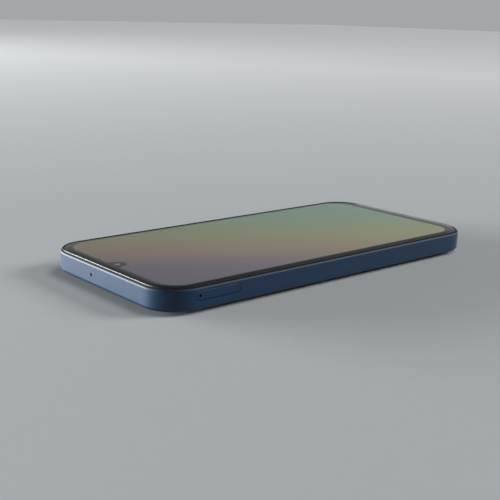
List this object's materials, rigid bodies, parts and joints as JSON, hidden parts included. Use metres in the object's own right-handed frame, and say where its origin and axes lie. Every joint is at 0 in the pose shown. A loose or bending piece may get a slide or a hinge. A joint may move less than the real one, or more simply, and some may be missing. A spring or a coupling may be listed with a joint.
{
  "type": "smartphone",
  "caption": "Slab smartphone with a flat navy side frame, a full glass front with a U-shaped camera notch, a side SIM tray, side keys and three round rear cameras.",
  "frame": {"origin": "centre of the rear cover's flat outer face", "axes": "+Z out of the screen, +Y to the top end with the front camera, -X to the side with the SIM tray, +X to the side with the keys"},
  "size_m": [0.0772, 0.16, 0.0096],
  "materials": {
    "frame_paint": "satin navy paint over moulded plastic",
    "cover_paint": "smooth navy paint under a clear coat",
    "screen_glass": "polished glass bonded to the display, black border printed behind it",
    "display": "laminated display layers",
    "foam_tape": "black foam tape",
    "cast_metal": "die-cast, as cast",
    "ring_metal": "turned and anodised navy",
    "window_glass": "polished, black mask printed behind it",
    "flash_plastic": "clear moulded lens over a yellow lamp",
    "board": "solder mask",
    "shield_steel": "stamped sheet",
    "screw_steel": "blackened",
    "mesh_steel": "fine woven mesh",
    "flexible_strip": "black film over copper",
    "battery_foil": "black wrapped foil pouch",
    "black_plastic": "moulded, fine texture",
    "contact_gold": "gold plated",
    "seal_rubber": "moulded silicone",
    "card_plastic": "smooth card"
  },
  "bodies": {
    "root": {"antenna_coax": "flexible_strip", "battery": "battery_foil", "battery_protection_board": "board", "close_up_camera": "black_plastic", "cover_glass": "screen_glass", "display_adhesive": "foam_tape", "display_flex": "flexible_strip", "display_panel": "display", "earpiece_mesh": "mesh_steel", "earpiece_receiver": "black_plastic", "flash_lamp": "flash_plastic", "flash_lens": "flash_plastic", "front_camera": "black_plastic", "headphone_jack": "black_plastic", "key_domes": "shield_steel", "loudspeaker": "black_plastic", "lower_bracket": "black_plastic", "lower_camera_ring": "ring_metal", "lower_camera_window": "window_glass", "main_board": "board", "main_camera": "black_plastic", "main_flex": "flexible_strip", "microphone_boots": "seal_rubber", "microphones": "shield_steel", "mid_plate": "cast_metal", "middle_camera_ring": "ring_metal", "middle_camera_window": "window_glass", "motor_base": "shield_steel", "motor_can": "shield_steel", "power_shield": "shield_steel", "processor_shield": "shield_steel", "radio_shield": "shield_steel", "rear_cover": "cover_paint", "rear_cover_adhesive": "foam_tape", "screws": "screw_steel", "side_frame": "frame_paint", "side_key_bracket": "shield_steel", "side_key_flex": "flexible_strip", "sim_contacts": "contact_gold", "sim_socket": "shield_steel", "speaker_mesh": "mesh_steel", "sub_board": "board", "upper_bracket": "black_plastic", "upper_camera_ring": "ring_metal", "upper_camera_window": "window_glass", "usb_c_contacts": "contact_gold", "usb_c_shell": "shield_steel", "usb_c_tongue": "black_plastic", "wide_camera": "black_plastic"},
    "power_button": {"power_button": "frame_paint", "fingerprint_sensor": "window_glass"},
    "volume_rocker": {"volume_rocker": "frame_paint"},
    "eject_plate": {"eject_plate": "shield_steel"},
    "sim_tray": {"sim_tray": "frame_paint", "sim_card": "card_plastic", "sim_tray_seal": "seal_rubber"},
    "ejector_rod": {"ejector_rod": "shield_steel"},
    "ejector_lever": {"ejector_lever": "shield_steel"},
    "focus_barrel": {"focus_barrel": "black_plastic"},
    "motor_rotor": {"motor_rotor": "screw_steel"}
  },
  "joints": [
    {"name": "power_press", "type": "slide", "parent": "root", "child": "power_button", "axis": [-1, 0, 0], "range_m": [0, 0.0003], "stiffness_N_per_m": 4000},
    {"name": "volume_rock", "type": "hinge", "parent": "root", "child": "volume_rocker", "pos_m": [0.03447, 0.043, 0.0042], "axis": [0, 0, 1], "range_deg": [-1.5, 1.5], "stiffness_Nm_per_rad": 0.5},
    {"name": "tray_eject", "type": "slide", "parent": "root", "child": "eject_plate", "axis": [-1, 0, 0], "range_m": [0, 0.0018]},
    {"name": "rod_push", "type": "slide", "parent": "root", "child": "ejector_rod", "axis": [1, 0, 0], "range_m": [0, 0.0018]},
    {"name": "lever_turn", "type": "hinge", "parent": "root", "child": "ejector_lever", "pos_m": [-0.00766, 0.0612, 0.00505], "axis": [0, 0, -1], "range_deg": [0, 22.93]},
    {"name": "tray_pull", "type": "slide", "parent": "eject_plate", "child": "sim_tray", "axis": [-1, 0, 0], "range_m": [0, 0.034]},
    {"name": "focus_drive", "type": "slide", "parent": "root", "child": "focus_barrel", "axis": [0, 0, -1], "range_m": [0, 0.0003], "stiffness_N_per_m": 200},
    {"name": "rotor_spin", "type": "hinge", "parent": "root", "child": "motor_rotor", "pos_m": [0.027, -0.0552, 0.00305], "axis": [0, 0, 1], "continuous": true}
  ],
  "couplings": [
    {"joint": "rod_push", "follows": "tray_eject", "ratio": 1},
    {"joint": "lever_turn", "follows": "tray_eject", "rad_per_m": 222.22}
  ]
}
